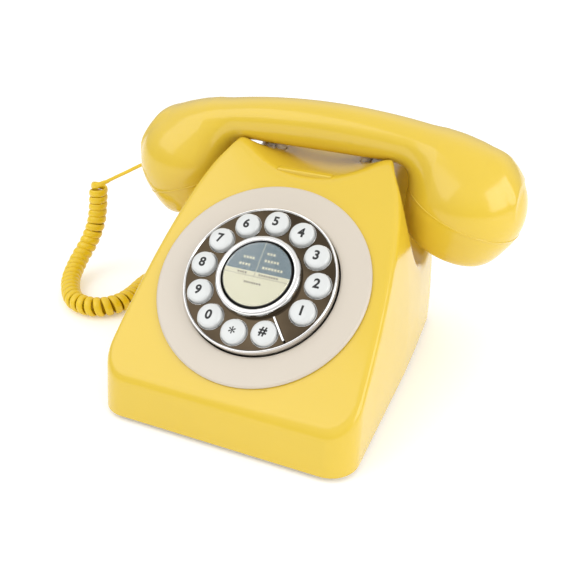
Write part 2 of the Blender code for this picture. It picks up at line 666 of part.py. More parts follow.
# The curly cord's route in millimetres: down from the handset, a bend on the table, and back behind the case
LEAD_TOP = [(-117.3, 49.5, 85.4), (-124, 49.7, 82.6), (-138, 51, 74.5), (-149, 52.2, 68.3),
            (-156, 52.8, 64.4)]
COIL_ROUTE = [(-161.5, 53, 62.4), (-162.9, 51, 44), (-163.6, 47, 33), (-166.3, 41, 22), (-168, 30, 12.5),
              (-162, 12.5, 7.2), (-147, -5, 6.6), (-133.7, -9.4, 6.6), (-123, -6, 6.6), (-116.5, 3, 6.6),
              (-114.6, 15, 6.6), (-115, 32, 6.6), (-111, 57, 6.6), (-101, 82, 6.6), (-85, 102, 6.6),
              (-66, 110, 7.2)]
LEAD_BASE = [(-65, 110.3, 7.4), (-55, 112.5, 9.4), (-46.5, 110.5, 12.4), (-41.4, 104.5, 14.4),
             (-40, 98.6, 15)]


def make_cord(looks):
    rear = CASE_DEPTH / 2
    add_cord("cord_lead_handset", LEAD_TOP, LEAD_RADIUS, 5.5 * MM, 2, looks["cord"])
    add_cord("cord_coil", COIL_ROUTE, COIL_RADIUS, 10 * MM, 2, looks["cord"])
    add_cord("cord_lead_base", LEAD_BASE, LEAD_RADIUS, 5 * MM, 2, looks["cord"])
    plug = box((SOCKET_X, rear + 0.5 * MM, SOCKET_Z), (9.6 * MM, 15 * MM, 6.6 * MM))
    add("cord_plug", plug, looks["lens"])


def make_looks():
    return {
        "shell": material("yellow_plastic", (0.83, 0.60, 0.13), 0.18),
        "cord": material("yellow_cord", (0.80, 0.52, 0.05), 0.35),
        "cream": material("cream_plastic", (0.80, 0.75, 0.66), 0.30),
        "key": material("white_plastic", (0.86, 0.87, 0.86), 0.22),
        "chrome": material("chrome", (0.60, 0.59, 0.57), 0.08, 1.0),
        "label": material("label_card", (0.25, 0.34, 0.40), 0.45),
        "lens": material("clear_plastic", (0.85, 0.86, 0.84), 0.08),
        "dark": material("dark_plastic", (0.03, 0.03, 0.03), 0.45),
        "plunger": material("cream_plunger", (0.78, 0.73, 0.64), 0.35),
        "base": material("base_plastic", (0.10, 0.09, 0.08), 0.50),
        "rubber": material("rubber", (0.03, 0.03, 0.03), 0.80),
        "steel": material("steel", (0.55, 0.55, 0.56), 0.35, 1.0),
        "brass": material("brass", (0.70, 0.50, 0.20), 0.25, 1.0),
        "copper": material("copper_winding", (0.55, 0.22, 0.10), 0.40, 1.0),
        "board": material("circuit_board", (0.05, 0.22, 0.10), 0.50),
    }


def main():
    clear_scene()
    looks = make_looks()
    make_case(looks)
    make_base(looks)
    make_dial(looks)
    make_recall_blank(looks)
    make_handset(looks)
    make_hook(looks)
    make_ringer(looks)
    make_electrics(looks)
    make_cord(looks)


main()
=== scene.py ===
"""Push-button desk telephone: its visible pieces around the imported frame.

Metres, +Z up; the front of the telephone faces -Y. Shapes are worked out in millimetres and scaled
once.
"""

import json
import math

import bmesh
import bpy
import numpy as np
from mathutils import Euler, Matrix, Vector


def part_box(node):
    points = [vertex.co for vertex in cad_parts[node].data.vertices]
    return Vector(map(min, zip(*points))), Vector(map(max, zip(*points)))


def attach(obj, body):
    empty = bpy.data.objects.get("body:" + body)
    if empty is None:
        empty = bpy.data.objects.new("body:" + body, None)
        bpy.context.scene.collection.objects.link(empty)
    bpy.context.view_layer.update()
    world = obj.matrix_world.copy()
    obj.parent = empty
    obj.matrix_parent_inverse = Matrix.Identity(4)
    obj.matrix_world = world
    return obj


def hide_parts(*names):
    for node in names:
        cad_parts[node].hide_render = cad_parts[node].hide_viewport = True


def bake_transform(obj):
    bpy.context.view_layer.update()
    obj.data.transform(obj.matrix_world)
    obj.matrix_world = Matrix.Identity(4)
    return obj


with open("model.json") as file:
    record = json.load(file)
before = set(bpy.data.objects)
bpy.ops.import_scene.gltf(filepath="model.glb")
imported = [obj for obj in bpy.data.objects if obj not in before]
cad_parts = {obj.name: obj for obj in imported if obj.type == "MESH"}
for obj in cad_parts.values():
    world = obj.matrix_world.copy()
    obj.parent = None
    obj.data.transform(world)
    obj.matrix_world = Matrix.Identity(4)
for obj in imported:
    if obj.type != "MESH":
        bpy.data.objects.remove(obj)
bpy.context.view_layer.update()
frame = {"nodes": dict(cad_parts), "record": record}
NODES = frame["nodes"]
MM = 0.001
SCENE = bpy.context.scene
SCENE.view_settings.view_transform = "Standard"

# The case, as in its CAD
FRONT = -90.0
FACE_ANGLE = math.radians(37.7)
FACE_FOOT = (FRONT + 2.6, 26.0)
CASE_HALF = 70.0
CASE_BOTTOM = 3.0
HORN_TOP = 119.0
WALL = 2.6
FRONT_EDGE, REAR_EDGE, FACE_EDGE, RIM_EDGE, CRADLE_EDGE = 15, 19, 5, 3, 2.4
SADDLE_RADIUS = 79.0
SADDLE_LOW = 106.2
TROUGH_RADIUS = 16.2
TROUGH_HEIGHT = 126.5
SCOOP = (46.0, 37.5, 48.0)
SCOOP_HEIGHT = 98.0
PLUNGER_X = 26
PLUNGER_RADIUS = 3.2
PLUNGER_TOP = 112.5

# The handset
HANDSET_Y = FRONT + 139.5
BULB_X = 84.2
BULB_Z = 93.6
BULB_RADIUS = 32.8
ARCH_TOP = 139.0
ARCH_UNDER = 112.8
BALL_SPAN = 30
HANDLE_POWER = 2.3
CAP_TILT = math.radians(19)
SEAM_DROP = {"mouth": 9.5, "ear": 0.8}
SEAM_LAP = 1.6
CAP_LOW = {"mouth": -27.5, "ear": -25.5}
CAP_WIDEST = -9.6
CORD_BORE = 1.45
GROMMET_DEPTH = 9.6

# The dial
DIAL = Matrix.Translation((0, (FRONT + 55.5) * MM, 66.95 * MM)) @ Matrix.Rotation(FACE_ANGLE, 4, "X")
RING_RADIUS = 56.9
HOUSING_RADIUS = 51.6
DIAL_HOLE = 52
PLATE_RADIUS = 40.6
PLATE_TOP = 6.0
KEY_TOP = 9.6
RING_CREST = 10.6
LABEL_HEIGHT = 10.3
KEY_CIRCLE = 31.3
KEY_RADIUS = 6.5
KEY_DOME = 5.2
KEY_STEM = 2.4
GLYPH_HEIGHT = {"*": 4.0, "#": 5.0}
DIGIT_HEIGHT = 5.3
GLYPH_GRID = 0.45
INK = 0.035
KEY_FIRST = math.radians(-24.9)
KEY_STEP = math.radians(29.09)
KEYS = {"1": "1", "2": "2", "3": "3", "4": "4", "5": "5", "6": "6", "7": "7", "8": "8", "9": "9",
        "0": "0", "star": "*", "hash": "#"}
CENTRE_RING = 22.5
CENTRE_BUTTON = 18.0
STOP_ANGLE = math.radians(-51)

# The curly cord's route in millimetres, as in its CAD: the lead, the coil and the lead to the socket
LEAD_TOP = [(-117.3, 49.5, 85.4), (-124, 49.7, 82.6), (-138, 51, 74.5), (-149, 52.2, 68.3),
            (-156, 52.8, 64.4)]
COIL_ROUTE = [(-161.5, 53, 62.4), (-162.9, 51, 44), (-163.6, 47, 33), (-166.3, 41, 22),
              (-168, 30, 12.5), (-162, 12.5, 7.2), (-147, -5, 6.6), (-133.7, -9.4, 6.6),
              (-123, -6, 6.6), (-116.5, 3, 6.6), (-114.6, 15, 6.6), (-115, 32, 6.6),
              (-111, 57, 6.6), (-101, 82, 6.6), (-85, 102, 6.6), (-66, 110, 7.2)]
LEAD_BASE = [(-65, 110.3, 7.4), (-55, 112.5, 9.4), (-46.5, 110.5, 12.4), (-41.4, 104.5, 14.4),
             (-40, 98.6, 15)]
COIL_RADIUS = 6.3
WIRE_WIDTH = 4.8
WIRE_DEPTH = 2.3
LEAD_RADIUS = 1.15
COIL_PITCH = 5.05
TURN_POINTS = 18
WIRE_SIDES = 12
LEAD_SPACING = 2.0

# The contacts of the plug and of the line socket
PIN_COUNT = 4
PIN_PITCH = 1.27
PIN_FIRST = 1.9

# Edges sharper than this are not shaded smooth
SHARP = math.radians(35)


# Materials

# Features per metre of the slow colour change and of the gloss change, and how far the roughness goes
PATCHES, SMUDGES = 28, 140
GLOSS_CHANGE = 0.02
COAT_ROUGHNESS = 0.06


def shader_tree(name):
    """A new material, its node tree and its Principled shader."""
    material = bpy.data.materials.new(name)
    material.use_nodes = True
    tree = material.node_tree
    return material, tree, tree.nodes["Principled BSDF"]


def noise(tree, scale, detail=2.0, stretch=(1, 1, 1)):
    """A noise texture in the object's own space. Its scale counts features per metre."""
    where = tree.nodes.new("ShaderNodeTexCoord")
    mapping = tree.nodes.new("ShaderNodeMapping")
    mapping.inputs["Scale"].default_value = stretch
    texture = tree.nodes.new("ShaderNodeTexNoise")
    texture.inputs["Scale"].default_value = scale
    texture.inputs["Detail"].default_value = detail
    tree.links.new(where.outputs["Object"], mapping.inputs["Vector"])
    tree.links.new(mapping.outputs["Vector"], texture.inputs["Vector"])
    return texture.outputs["Fac"]


def ramp(tree, value, low, high):
    """A value's middle range spread between two colours."""
    node = tree.nodes.new("ShaderNodeValToRGB")
    node.color_ramp.elements[0].position = 0.3
    node.color_ramp.elements[1].position = 0.7
    node.color_ramp.elements[0].color = (*low, 1)
    node.color_ramp.elements[1].color = (*high, 1)
    tree.links.new(value, node.inputs["Fac"])
    return node.outputs["Color"]


def spread(tree, value, low, high):
    """A value's middle range spread between two numbers."""
    node = tree.nodes.new("ShaderNodeMapRange")
    node.inputs["From Min"].default_value = 0.3
    node.inputs["From Max"].default_value = 0.7
    node.inputs["To Min"].default_value = low
    node.inputs["To Max"].default_value = high
    tree.links.new(value, node.inputs["Value"])
    return node.outputs["Result"]


def add_bump(tree, shader, height, depth):
    """Relief of a depth in metres, from a height between 0 and 1."""
    bump = tree.nodes.new("ShaderNodeBump")
    bump.inputs["Strength"].default_value = 1.0
    bump.inputs["Distance"].default_value = depth
    tree.links.new(height, bump.inputs["Height"])
    tree.links.new(bump.outputs["Normal"], shader.inputs["Normal"])


def tint(colour, share):
    return tuple(min(1.0, channel * share) for channel in colour)


def finish(name, colour, roughness, metallic=0.0, coat=0.0, vary=0.04, grain=900, depth=0.00001,
           stretch=(1, 1, 1)):
    """A moulded, plated or brushed surface: slow changes of colour and gloss, and a fine bump."""
    material, tree, shader = shader_tree(name)
    patches = ramp(tree, noise(tree, PATCHES, 3), tint(colour, 1 - vary), tint(colour, 1 + vary))
    tree.links.new(patches, shader.inputs["Base Color"])
    uneven = spread(tree, noise(tree, SMUDGES, 4), roughness - GLOSS_CHANGE, roughness + GLOSS_CHANGE)
    tree.links.new(uneven, shader.inputs["Roughness"])
    add_bump(tree, shader, noise(tree, grain, 2, stretch), depth)
    shader.inputs["Metallic"].default_value = metallic
    shader.inputs["Coat Weight"].default_value = coat
    shader.inputs["Coat Roughness"].default_value = COAT_ROUGHNESS
    material.diffuse_color = (*colour, 1)
    return material


def clear_plastic(name, colour, alpha):
    """A clear moulding, which shows only as much of itself as its alpha says."""
    material, tree, shader = shader_tree(name)
    tree.links.new(ramp(tree, noise(tree, 60), tint(colour, 0.98), colour), shader.inputs["Base Color"])
    tree.links.new(spread(tree, noise(tree, 300), 0.02, 0.05), shader.inputs["Roughness"])
    shader.inputs["Transmission Weight"].default_value = 1.0
    shader.inputs["IOR"].default_value = 1.8
    shader.inputs["Alpha"].default_value = alpha
    return material


def make_looks():
    """Every material. A record's slot of the same name gives it to the CAD nodes that stay."""
    return {
        "shell": finish("yellow_plastic", (0.72, 0.505, 0.040), 0.20, coat=0.25, vary=0.012,
                        grain=420, depth=0.00001),
        "cord": finish("yellow_vinyl", (0.80, 0.55, 0.008), 0.33, coat=0.15, vary=0.05,
                       grain=1500, depth=0.00003),
        "cream": finish("cream_plastic", (0.62, 0.555, 0.465), 0.34, vary=0.012, grain=1800),
        "key": finish("white_plastic", (0.66, 0.675, 0.665), 0.20, coat=0.3, vary=0.01,
                      depth=0.000006),
        "plate": finish("dark_chrome", (0.058, 0.043, 0.027), 0.10, metallic=1.0, vary=0.35,
                        grain=90, depth=0.00003),
        "chrome": finish("bright_chrome", (0.80, 0.79, 0.78), 0.07, metallic=1.0, vary=0.03,
                         grain=300, depth=0.000006),
        "print": finish("black_print", (0.006, 0.006, 0.006), 0.5, vary=0.2,
                        grain=4000, depth=0.000004),
        "slate": finish("slate_card", (0.115, 0.175, 0.205), 0.5, vary=0.05,
                        grain=5000, depth=0.000008),
        "card": finish("cream_card", (0.66, 0.64, 0.47), 0.5, vary=0.02,
                       grain=5000, depth=0.000008),
        "rule": finish("brown_rule", (0.16, 0.13, 0.09), 0.5, vary=0.1,
                       grain=5000, depth=0.000004),
        "lens": clear_plastic("clear_lens", (0.93, 0.93, 0.90), 0.22),
        "plug": clear_plastic("clear_plug", (0.85, 0.86, 0.84), 0.55),
        "dark": finish("black_moulding", (0.02, 0.02, 0.02), 0.42, vary=0.15,
                       grain=2200, depth=0.00003),
        "base": finish("base_moulding", (0.055, 0.05, 0.045), 0.55, vary=0.15,
                       grain=1600, depth=0.00006),
        "plunger": finish("cream_plunger", (0.78, 0.72, 0.62), 0.28, coat=0.2, vary=0.02),
        "rubber": finish("rubber", (0.025, 0.025, 0.025), 0.8, vary=0.2, grain=2600, depth=0.00008),
        "steel": finish("plated_steel", (0.56, 0.56, 0.57), 0.28, metallic=1.0, vary=0.08,
                        depth=0.00002, stretch=(1, 8, 1)),
        "brass": finish("spun_brass", (0.72, 0.50, 0.20), 0.22, metallic=1.0, vary=0.1,
                        grain=700, depth=0.00002),
        "copper": finish("copper_winding", (0.55, 0.22, 0.10), 0.38, metallic=1.0, vary=0.1,
                         grain=1800, depth=0.00008, stretch=(6, 1, 1)),
        "board": finish("circuit_board", (0.03, 0.16, 0.07), 0.42, vary=0.1,
                        grain=1200, depth=0.00002),
        "gold": finish("gold_contact", (0.85, 0.62, 0.25), 0.2, metallic=1.0, vary=0.05),
        "floor": finish("pale_floor", (0.93, 0.93, 0.93), 0.7, vary=0.004, grain=200),
    }


# Mesh helpers

def link(name, mesh, look, body, replaces=()):
    """A piece from a mesh that is already in place in metres."""
    piece = bpy.data.objects.new(name, mesh)
    SCENE.collection.objects.link(piece)
    mesh.materials.append(look)
    if body:
        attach(piece, body)
    if replaces:
        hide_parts(*replaces)
    return piece


def mesh_from(name, points, faces, sharp=SHARP):
    """A mesh from points in metres, smooth but for edges sharper than an angle, if one is given."""
    mesh = bpy.data.meshes.new(name)
    mesh.from_pydata([tuple(point) for point in points], [], [tuple(face) for face in faces])
    mesh.validate()
    mesh.shade_smooth()
    if sharp:
        mesh.set_sharp_from_angle(angle=sharp)
    return mesh


def mesh_of(name, bm, matrix=None):
    """A mesh from a bmesh in millimetres, placed by a matrix in metres."""
    bmesh.ops.recalc_face_normals(bm, faces=bm.faces)
    bmesh.ops.scale(bm, vec=(MM, MM, MM), verts=bm.verts)
    if matrix:
        bmesh.ops.transform(bm, matrix=matrix, verts=bm.verts)
    mesh = bpy.data.meshes.new(name)
    bm.to_mesh(mesh)
    bm.free()
    mesh.shade_smooth()
    mesh.set_sharp_from_angle(angle=SHARP)
    return mesh


def circle(radius, count, centre=(0.0, 0.0)):
    turns = [2 * math.pi * i / count for i in range(count)]
    return [(centre[0] + radius * math.cos(t), centre[1] + radius * math.sin(t)) for t in turns]


def prism(outline, low, high, bm=None):
    """An outline of (x, y) between two heights."""
    bm = bm or bmesh.new()
    rings = [[bm.verts.new((x, y, z)) for x, y in outline] for z in (low, high)]
    for ring in rings:
        bm.faces.new(ring)
    for i in range(len(outline)):
        j = (i + 1) % len(outline)
        bm.faces.new((rings[0][i], rings[0][j], rings[1][j], rings[1][i]))
    return bm


def box(low, high, bm=None):
    outline = [(low[0], low[1]), (high[0], low[1]), (high[0], high[1]), (low[0], high[1])]
    return prism(outline, low[2], high[2], bm)


def turned(profile, count, bm=None):
    """A profile of (radius, height) turned about Z. Radius 0 closes it on the axis."""
    bm = bm or bmesh.new()
    rings = []
    for radius, height in profile:
        outline = circle(radius, count) if radius > 0 else [(0, 0)]
        rings.append([bm.verts.new((x, y, height)) for x, y in outline])
    if profile[0][0] > 0:
        rings.append(rings[0])
    for low, high in zip(rings, rings[1:]):
        for i in range(count):
            j = (i + 1) % count
            corners = [low[i % len(low)], low[j % len(low)], high[j % len(high)], high[i % len(high)]]
            corners = list(dict.fromkeys(corners))
            if len(corners) > 2:
                bm.faces.new(corners)
    return bm


def rounded(profile, radius, steps=4):
    """A closed profile with its corners rounded, each by no more than half of the shorter side."""
    points = [Vector(p) for p in profile]
    made = []
    count = len(points)
    for i, point in enumerate(points):
        before, after = points[i - 1], points[(i + 1) % count]
        if point.x <= 0:
            made.append(tuple(point))
            continue
        back, ahead = before - point, after - point
        turn = back.angle(ahead)
        reach = min(radius / max(math.tan(turn / 2), 1e-6), back.length / 2, ahead.length / 2)
        start, end = point + back.normalized() * reach, point + ahead.normalized() * reach
        for step in range(steps + 1):
            t = step / steps
            made.append(tuple(start * (1 - t) ** 2 + point * (2 * t * (1 - t)) + end * t**2))
    return made


def curve_through(ends, steps):
    """Points of a cubic curve with four control points."""
    ends = [Vector(end) for end in ends]
    weights = [((1 - t) ** 3, 3 * t * (1 - t) ** 2, 3 * t * t * (1 - t), t**3)
               for t in (i / steps for i in range(steps + 1))]
    zero = Vector([0.0] * len(ends[0]))
    return [tuple(sum((w * p for w, p in zip(row, ends)), zero)) for row in weights]


def cut(piece, cutter_mesh, name):
    """Cuts a piece with a mesh in place, and applies it."""
    cutter = bpy.data.objects.new(name, cutter_mesh)
    SCENE.collection.objects.link(cutter)
    modifier = piece.modifiers.new(name, "BOOLEAN")
    modifier.operation = "DIFFERENCE"
    modifier.solver = "EXACT"
    modifier.object = cutter
    graph = bpy.context.evaluated_depsgraph_get()
    made = bpy.data.meshes.new_from_object(piece.evaluated_get(graph))
    piece.modifiers.clear()
    looks = list(piece.data.materials)
    piece.data = made
    made.materials.clear()
    for look in looks:
        made.materials.append(look)
    made.polygons.foreach_set("material_index", [0] * len(made.polygons))
    made.shade_smooth()
    made.set_sharp_from_angle(angle=SHARP)
    bpy.data.objects.remove(cutter)


# Solids described by a field: negative inside, in millimetres

def meet(fields, radius):
    """The solid inside all the fields, with its edges rounded."""
    worst = np.maximum.reduce(fields)
    over = sum(np.maximum(field + radius, 0) ** 2 for field in fields)
    return np.minimum(worst, -radius) + np.sqrt(over)


def join(a, b, width):
    """The solid of both fields, with a fillet where they meet."""
    share = np.clip(0.5 + 0.5 * (b - a) / width, 0, 1)
    return b * (1 - share) + a * share - width * share * (1 - share)


def net(field, low, high, pitch, level=0.0):
    """A quad mesh of the surface where the field has a level, with one point in each cell it crosses."""
    axes = [np.arange(start, end + pitch, pitch) for start, end in zip(low, high)]
    grid = np.meshgrid(*axes, indexing="ij")
    value = field(*grid) - level
    cells = tuple(n - 1 for n in value.shape)
    total, count = np.zeros(cells + (3,)), np.zeros(cells)
    quads = []
    index = np.arange(np.prod(cells)).reshape(cells)
    for axis in range(3):
        first = np.take(value, range(cells[axis]), axis)
        second = np.take(value, range(1, cells[axis] + 1), axis)
        crossing = (first < 0) != (second < 0)
        share = np.where(crossing, first / np.where(crossing, first - second, 1), 0)
        at = [np.take(part, range(cells[axis]), axis) for part in grid]
        at[axis] = at[axis] + share * pitch
        across = [(axis + 1) % 3, (axis + 2) % 3]
        for shift in ((0, 0), (1, 0), (1, 1), (0, 1)):
            window = [slice(None)] * 3
            for side, step in zip(across, shift):
                window[side] = slice(step, cells[side] + step)
            window = tuple(window)
            count += crossing[window]
            for part in range(3):
                total[..., part] += np.where(crossing[window], at[part][window], 0)
        inner = [slice(None)] * 3
        for side in across:
            inner[side] = slice(1, cells[side])
        where = np.argwhere(crossing[tuple(inner)])
        for side in across:
            where[:, side] += 1
        flip = first[tuple(where.T)] < 0
        ring = []
        for shift in ((1, 1), (0, 1), (0, 0), (1, 0)):
            corner = where.copy()
            for side, step in zip(across, shift):
                corner[:, side] -= step
            ring.append(index[tuple(corner.T)])
        ring = np.stack(ring, axis=1)
        ring[~flip] = ring[~flip][:, ::-1]
        quads.append(ring)
    used = count > 0
    points = total[used] / count[used][:, None]
    number = np.full(count.size, -1)
    number[used.reshape(-1)] = np.arange(len(points))
    points = settle(field, points, level)
    return points, number[np.concatenate(quads)]


def settle(field, points, level, step=0.05, furthest=0.6):
    """Moves points along the field's slope onto its level, in four rounds."""
    for _ in range(4):
        here = field(*points.T) - level
        slope = []
        for axis in range(3):
            shift = np.zeros(3)
            shift[axis] = step
            slope.append((field(*(points + shift).T) - field(*(points - shift).T)) / (2 * step))
        slope = np.stack(slope, axis=1)
        size = np.maximum((slope**2).sum(axis=1), 0.05)
        move = (here / size)[:, None] * slope
        length = np.linalg.norm(move, axis=1, keepdims=True)
        points = points - move * np.minimum(1, furthest / np.maximum(length, 1e-9))
    return points


# The case's half width against its height, how far it draws in against y, its rear wall against its
# height, and how much its front wall leans back per millimetre
SIDE_CURVE = np.array(curve_through([(CASE_HALF, -12), (CASE_HALF, 42), (68, 96), (45, 120)], 60))
TAPER_PLACES = [8, 36, 71.4]
TAPER = [0, 0.8, 2.6]
REAR_HEIGHTS = [-12, 20, 60, 90, 106, 115]
REAR_PLACES = [90, 89.8, 88.4, 84.6, 82, 78.5]
FRONT_LEAN = 2.6 / 23


def case_block(x, y, z):
    """The case before its cradle is cut."""
    half = np.interp(z, SIDE_CURVE[:, 1], SIDE_CURVE[:, 0]) - np.interp(y, TAPER_PLACES, TAPER)
    side = np.abs(x) - half
    front = -(y - FRONT - FRONT_LEAN * (z - CASE_BOTTOM))
    rear = y - np.interp(z, REAR_HEIGHTS, REAR_PLACES)
    face = -(y - FACE_FOOT[0]) * math.sin(FACE_ANGLE) + (z - FACE_FOOT[1]) * math.cos(FACE_ANGLE)
    walls = np.maximum(meet([side, front], FRONT_EDGE), meet([side, rear], REAR_EDGE))
    lid = meet([face, z - HORN_TOP], FACE_EDGE)
    return meet([walls, lid], RIM_EDGE)


def scoop(x, y, z, side):
    """How far a point is outside one of the ellipsoids that clear the handset's ends."""
    parts = [(x - side * BULB_X) / SCOOP[0], (y - HANDSET_Y) / SCOOP[1], (z - SCOOP_HEIGHT) / SCOOP[2]]
    reach = np.sqrt(sum(part**2 for part in parts))
    slope = np.sqrt(sum((part / size) ** 2 for part, size in zip(parts, SCOOP)))
    return reach * (reach - 1) / np.maximum(slope, 1e-6)


def case_field(x, y, z):
    """The case with its cradle. It runs on below its lower edge, where the shell is cut later."""
    saddle = SADDLE_RADIUS - np.hypot(x, z - SADDLE_LOW - SADDLE_RADIUS)
    trough = TROUGH_RADIUS - np.hypot(y - HANDSET_Y, z - TROUGH_HEIGHT)
    scoops = np.maximum(-scoop(x, y, z, 1), -scoop(x, y, z, -1))
    shape = meet([case_block(x, y, z), saddle, trough, scoops], CRADLE_EDGE)
    return np.maximum(shape, -9 - z)


def make_case(looks):
    """The case's shell: an outer and an inner surface, then one cut for its openings."""
    low, high = (-74, -94, -13), (74, 94, 124)
    fine, coarse = ((1.25, 2.6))
    outside, outer_faces = net(case_field, low, high, fine)
    inside, inner_faces = net(case_field, low, high, coarse, -WALL)
    points = np.concatenate([outside, inside]) * MM
    faces = np.concatenate([outer_faces, inner_faces[:, ::-1] + len(outside)])
    mesh = mesh_from("case_fine", points, faces)
    case = link("case_fine", mesh, looks["shell"], "base", ["case_shell"])
    holes = box((-90, -110, -20), (90, 110, CASE_BOTTOM))
    for side in (-1, 1):
        prism(circle(PLUNGER_RADIUS + 0.5, 32, (side * PLUNGER_X, HANDSET_Y)), 80, 125, holes)
    middle = 15
    for x, width, height in ((-40, 15, 14), (24, 15, 14), (54, 9, 5)):
        box((x - width / 2, 80, middle - height / 2), (x + width / 2, 100, middle + height / 2), holes)
    cut(case, mesh_of("case_holes", holes), "case_holes")
    dial_hole = prism(circle(DIAL_HOLE, 96), -20, 25)
    cut(case, mesh_of("dial_hole", dial_hole, DIAL), "dial_hole")


def handle_top(x):
    """The handle's arch, which turns down over the end of each ball."""
    arch = ARCH_TOP - x**2 / 700
    past, before = np.clip(np.abs(x) - BULB_X, 0, BALL_SPAN), np.maximum(BULB_X - np.abs(x), 0)
    end = BULB_Z + np.sqrt(BULB_RADIUS**2 - past**2) + 3.4 * (1 - (past / BALL_SPAN) ** 2)
    end = end + 0.25 * before + 0.02 * before**2
    share = np.clip(0.5 + (end - arch) / 6, 0, 1)
    return end * (1 - share) + arch * share - 1.5 * share * (1 - share)


def handle_under(x):
    """The handle's underside: flat, then lower towards each ball."""
    return ARCH_UNDER - 0.005 * np.maximum(np.abs(x) - 46, 0) ** 2


def handset_field(x, y, z):
    """An arched handle that runs into a ball at each end, cut off at the caps' seams."""
    top, under = handle_top(x), handle_under(x)
    half_height, middle = (top - under) / 2, (top + under) / 2
    half_depth = 14.8 + 1.5 * np.minimum(np.abs(x) / BULB_X, 1) ** 2
    reach = np.abs(y / half_depth) ** HANDLE_POWER + np.abs((z - middle) / half_height) ** HANDLE_POWER
    reach = reach ** (1 / HANDLE_POWER)
    handle = (reach - 1) * np.minimum(half_height, half_depth)
    handle = np.maximum(handle, np.abs(x) - BULB_X - 28)
    ball = np.sqrt((np.abs(x) - BULB_X) ** 2 + y**2 + (z - BULB_Z) ** 2) - BULB_RADIUS
    body = join(handle, ball, np.interp(np.abs(x), [68, 94], [16, 1.5]))
    drop = np.where(x > 0, SEAM_DROP["ear"], SEAM_DROP["mouth"]) + SEAM_LAP
    seam = -(np.abs(x) - BULB_X) * math.sin(CAP_TILT) - (z - BULB_Z) * math.cos(CAP_TILT) - drop
    seam = np.where(np.abs(x) > 48, seam, -30)
    return meet([body, seam], 0.35)


def bulb_frame(side):
    """The frame of one ball, tilted with its cap, whose axis is the frame's Z."""
    tilt = Matrix.Rotation(side * CAP_TILT, 4, "Y")
    return Matrix.Translation((side * BULB_X * MM, HANDSET_Y * MM, BULB_Z * MM)) @ tilt


def make_handset(looks):
    pitch = 1.15
    points, faces = net(handset_field, (-121, -37, 66), (121, 37, 144), pitch)
    mesh = mesh_from("handset_fine", (points + [0, HANDSET_Y, 0]) * MM, faces)
    body = link("handset_fine", mesh, looks["shell"], "handset", ["handset_body"])
    outward = Vector((-0.97, 0, -0.24)).normalized()
    start = Vector((-BULB_X, HANDSET_Y, BULB_Z)) + outward * (BULB_RADIUS - GROMMET_DEPTH)
    exit_frame = Matrix.Translation(start * MM) @ outward.to_track_quat("Z", "Y").to_matrix().to_4x4()
    cut(body, mesh_of("cord_hole", prism(circle(2.5, 32), 3, 20), exit_frame), "cord_hole")
    sleeve = [(CORD_BORE, 4), (2.3, 4), (2.3, 9.0), (2.9, 9.6), (2.7, 10.6), (1.9, 11.4),
              (CORD_BORE, 11.4)]
    mesh = mesh_of("grommet_fine", turned(rounded(sleeve, 0.4), 32), exit_frame)
    link("grommet_fine", mesh, looks["shell"], "handset", ["handset_grommet"])
    for side, name in ((-1, "mouth"), (1, "ear")):
        make_cap(name, bulb_frame(side), looks)


def make_cap(name, place, looks):
    """A screw-on cap: a dished face with sound holes, a full round flank and a fine ridge at its seam."""
    seam, low = -SEAM_DROP[name] - 0.04, CAP_LOW[name]
    heights = np.linspace(CAP_WIDEST, seam - 1.2, 8)
    arc = [(math.sqrt(BULB_RADIUS**2 - h**2) + 0.05, h) for h in heights]
    rim = arc[-1][0] + 0.3
    start = arc[0][0]
    flank = curve_through([(20.5, low), (27.6, low + 0.3), (start - 1.5, -16), (start, CAP_WIDEST)], 14)
    if arc[-1][1] > arc[0][1] + 0.5:
        flank += arc[1:]
    else:
        rim = math.sqrt(BULB_RADIUS**2 - seam**2) + 0.25
    profile = [(0, low + 1.1), (17.5, low + 0.7), (19.4, low + 0.1)] + flank
    profile += [(rim, seam - 0.7), (rim, seam - 0.3), (rim - 0.4, seam), (25.5, seam), (23.5, -12.5),
                (23, low + 2.6), (0, low + 2.6)]
    mesh = mesh_of(name + "_cap_fine", turned(profile, 96), place)
    cap = link(name + "_cap_fine", mesh, looks["shell"], "handset", [name + "_cap"])
    holes = bmesh.new()
    for radius, count in ((0, 1), (5, 6), (10, 12)):
        for x, y in circle(radius, count):
            prism(circle(1.0, 16, (x, y)), low - 3, low + 5, holes)
    cut(cap, mesh_of(name + "_holes", holes, place), name + "_holes")


def key_profile():
    """Half of a key: a shallow dome with a soft shoulder above a straight side."""
    dome = [(r, key_height(r)) for r in (0, 0.6, 1.2, 1.8, 2.4, 3.0, 3.6, 4.2, 4.8)]
    edge = key_height(KEY_DOME)
    return dome + curve_through([(KEY_DOME, edge), (5.95, edge - 0.2), (KEY_RADIUS, edge - 0.7),
                                 (KEY_RADIUS, edge - 1.5)], 8)


def key_height(radius):
    """The height of a key's dome, in the dial's frame."""
    return KEY_TOP - 0.62 * (radius / KEY_DOME) ** 2


def key_place(index):
    """The middle of a key, in the dial's frame."""
    angle = KEY_FIRST + KEY_STEP * index
    return KEY_CIRCLE * math.cos(angle), KEY_CIRCLE * math.sin(angle)


def split(bm, place, normal):
    """Divides the faces that a plane crosses."""
    everything = bm.verts[:] + bm.edges[:] + bm.faces[:]
    bmesh.ops.bisect_plane(bm, geom=everything, plane_co=place, plane_no=normal)


